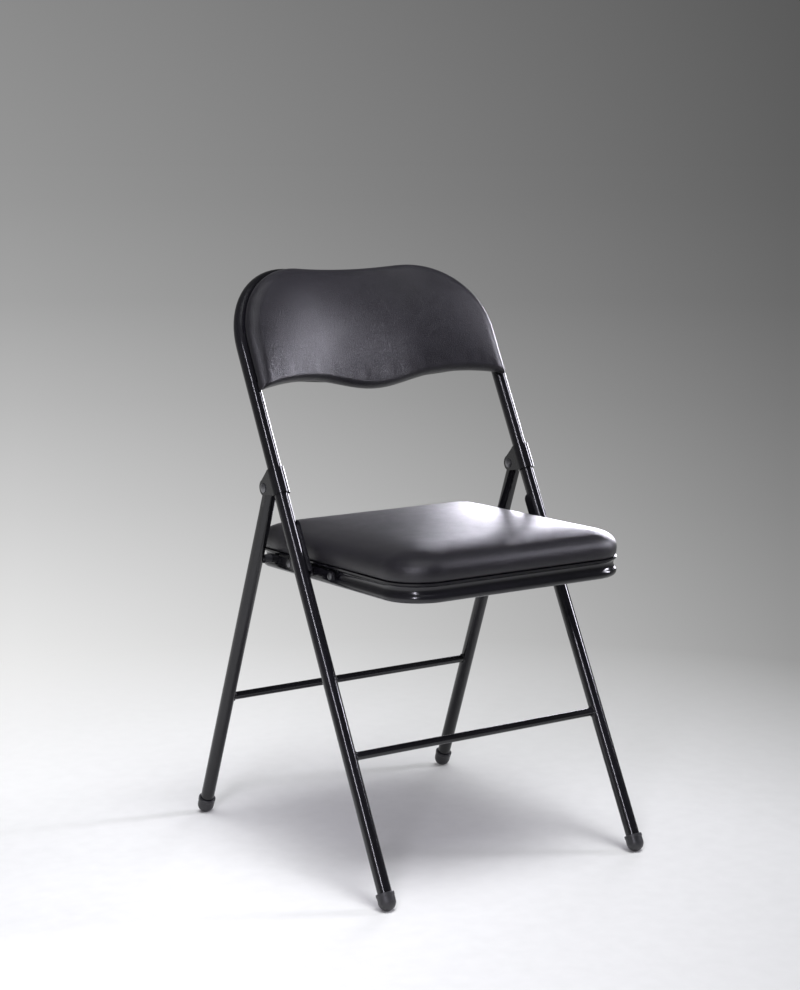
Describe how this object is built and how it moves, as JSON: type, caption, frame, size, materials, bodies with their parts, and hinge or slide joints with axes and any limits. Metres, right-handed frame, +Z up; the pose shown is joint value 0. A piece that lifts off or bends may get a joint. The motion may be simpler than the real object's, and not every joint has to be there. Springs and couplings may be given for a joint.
{
  "type": "upholstered folding chair",
  "caption": "Steel-tube folding chair with a bowed padded back rest and a padded seat that swings up as the rear legs close behind the front frame.",
  "frame": {"origin": "on the floor under the middle of the open chair", "axes": "+Z up, the chair faces -Y, +X to the right of a viewer in front"},
  "size_m": [0.442, 0.4978, 0.7868],
  "materials": {
    "black_enamel": "gloss",
    "vinyl": "fine grain, satin",
    "foot_rubber": "matte",
    "rivet_steel": "dark zinc",
    "black_plastic": "moulded",
    "board_wood": "plain board"
  },
  "bodies": {
    "front_frame": {"front_frame_tube": "black_enamel", "front_crossbar": "black_enamel", "front_foot_left": "foot_rubber", "front_foot_right": "foot_rubber", "hinge_strap_left": "black_enamel", "hinge_strap_right": "black_enamel", "hinge_rivets": "rivet_steel", "seat_bracket_left": "black_enamel", "seat_bracket_right": "black_enamel", "seat_pivot_rivets": "rivet_steel", "back_panel": "black_enamel", "back_board": "board_wood", "back_cushion": "vinyl", "back_screws": "rivet_steel"},
    "rear_legs": {"rear_leg_left": "black_enamel", "rear_leg_right": "black_enamel", "rear_crossbar": "black_enamel", "rear_foot_left": "foot_rubber", "rear_foot_right": "foot_rubber"},
    "seat": {"seat_pan": "black_enamel", "seat_board": "board_wood", "seat_cushion": "vinyl", "seat_screws": "rivet_steel", "seat_strap_left": "black_enamel", "seat_strap_right": "black_enamel", "strap_rivets": "rivet_steel", "pivot_spacers": "black_plastic", "slide_studs": "rivet_steel", "slide_bushes": "black_plastic"}
  },
  "joints": [
    {"name": "seat_pivot", "type": "hinge", "parent": "front_frame", "child": "seat", "pos_m": [0, -0.01429, 0.39894], "axis": [-1, 0, 0], "range_deg": [0, 115.4]},
    {"name": "rear_leg_hinge", "type": "hinge", "parent": "front_frame", "child": "rear_legs", "pos_m": [0, 0.04632, 0.50317], "axis": [-1, 0, 0], "range_deg": [0, 48.85]}
  ],
  "couplings": [
    {"joint": "rear_leg_hinge", "follows": "seat_pivot", "ratio": 0.42331}
  ]
}
